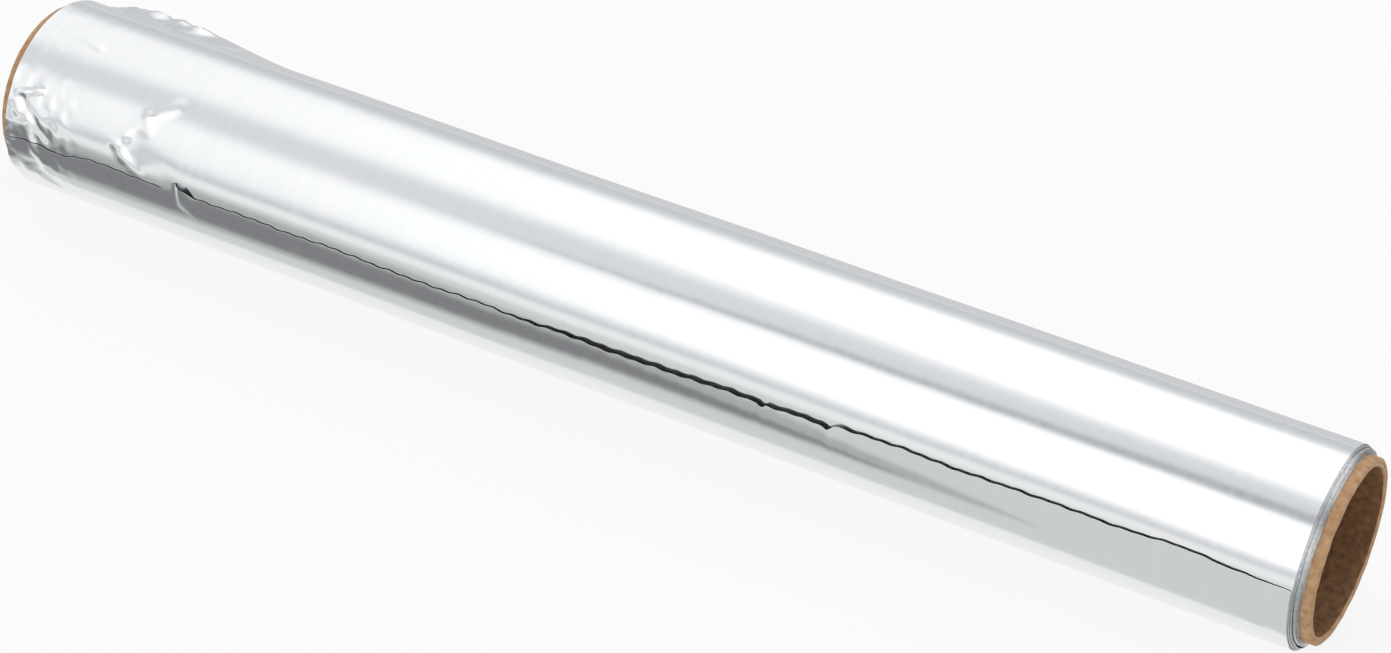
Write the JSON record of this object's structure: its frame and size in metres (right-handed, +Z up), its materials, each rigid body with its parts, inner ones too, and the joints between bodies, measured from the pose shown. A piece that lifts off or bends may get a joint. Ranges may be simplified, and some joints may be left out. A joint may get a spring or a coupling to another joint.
{
  "type": "aluminium foil roll",
  "caption": "Roll of household aluminium foil on an open cardboard core, lying on its side with a loose free edge and slack outer turns.",
  "frame": {"origin": "on the surface the roll lies on, straight below the core's centre line and midway along the core", "axes": "+X along the core towards the end where the foil's edges are stepped, -Y towards the foil's free edge, +Z up from the flat spot the roll lies on"},
  "size_m": [0.3046, 0.0423, 0.0417],
  "materials": {
    "core_board": "matte",
    "foil": "gloss"
  },
  "bodies": {
    "root": {"core_tube": "core_board", "foil_roll": "foil"}
  },
  "joints": []
}
